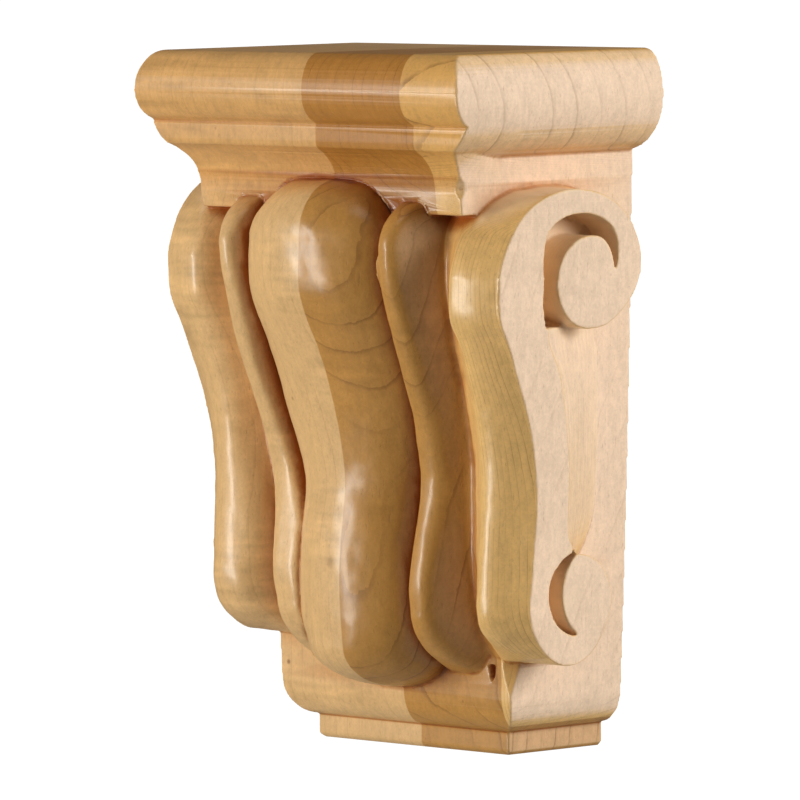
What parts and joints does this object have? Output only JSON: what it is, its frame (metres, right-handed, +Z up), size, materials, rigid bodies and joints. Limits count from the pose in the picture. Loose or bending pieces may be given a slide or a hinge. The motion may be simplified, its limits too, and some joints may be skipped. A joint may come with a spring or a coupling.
{
  "type": "corbel bracket",
  "caption": "Carved wooden corbel with a moulded cap, a bulging front, raised side scrolls and a small foot, fixed by its flat back under a shelf or mantel.",
  "frame": {"origin": "centre of the flat back face, halfway up the corbel's height", "axes": "+Z up along the height, the longest extent; +Y into the wall, out of the flat back; the carved front looks along -Y"},
  "size_m": [0.1193, 0.0708, 0.171],
  "materials": {
    "maple": "satin lacquered"
  },
  "bodies": {
    "root": {"corbel": "maple"}
  },
  "joints": []
}
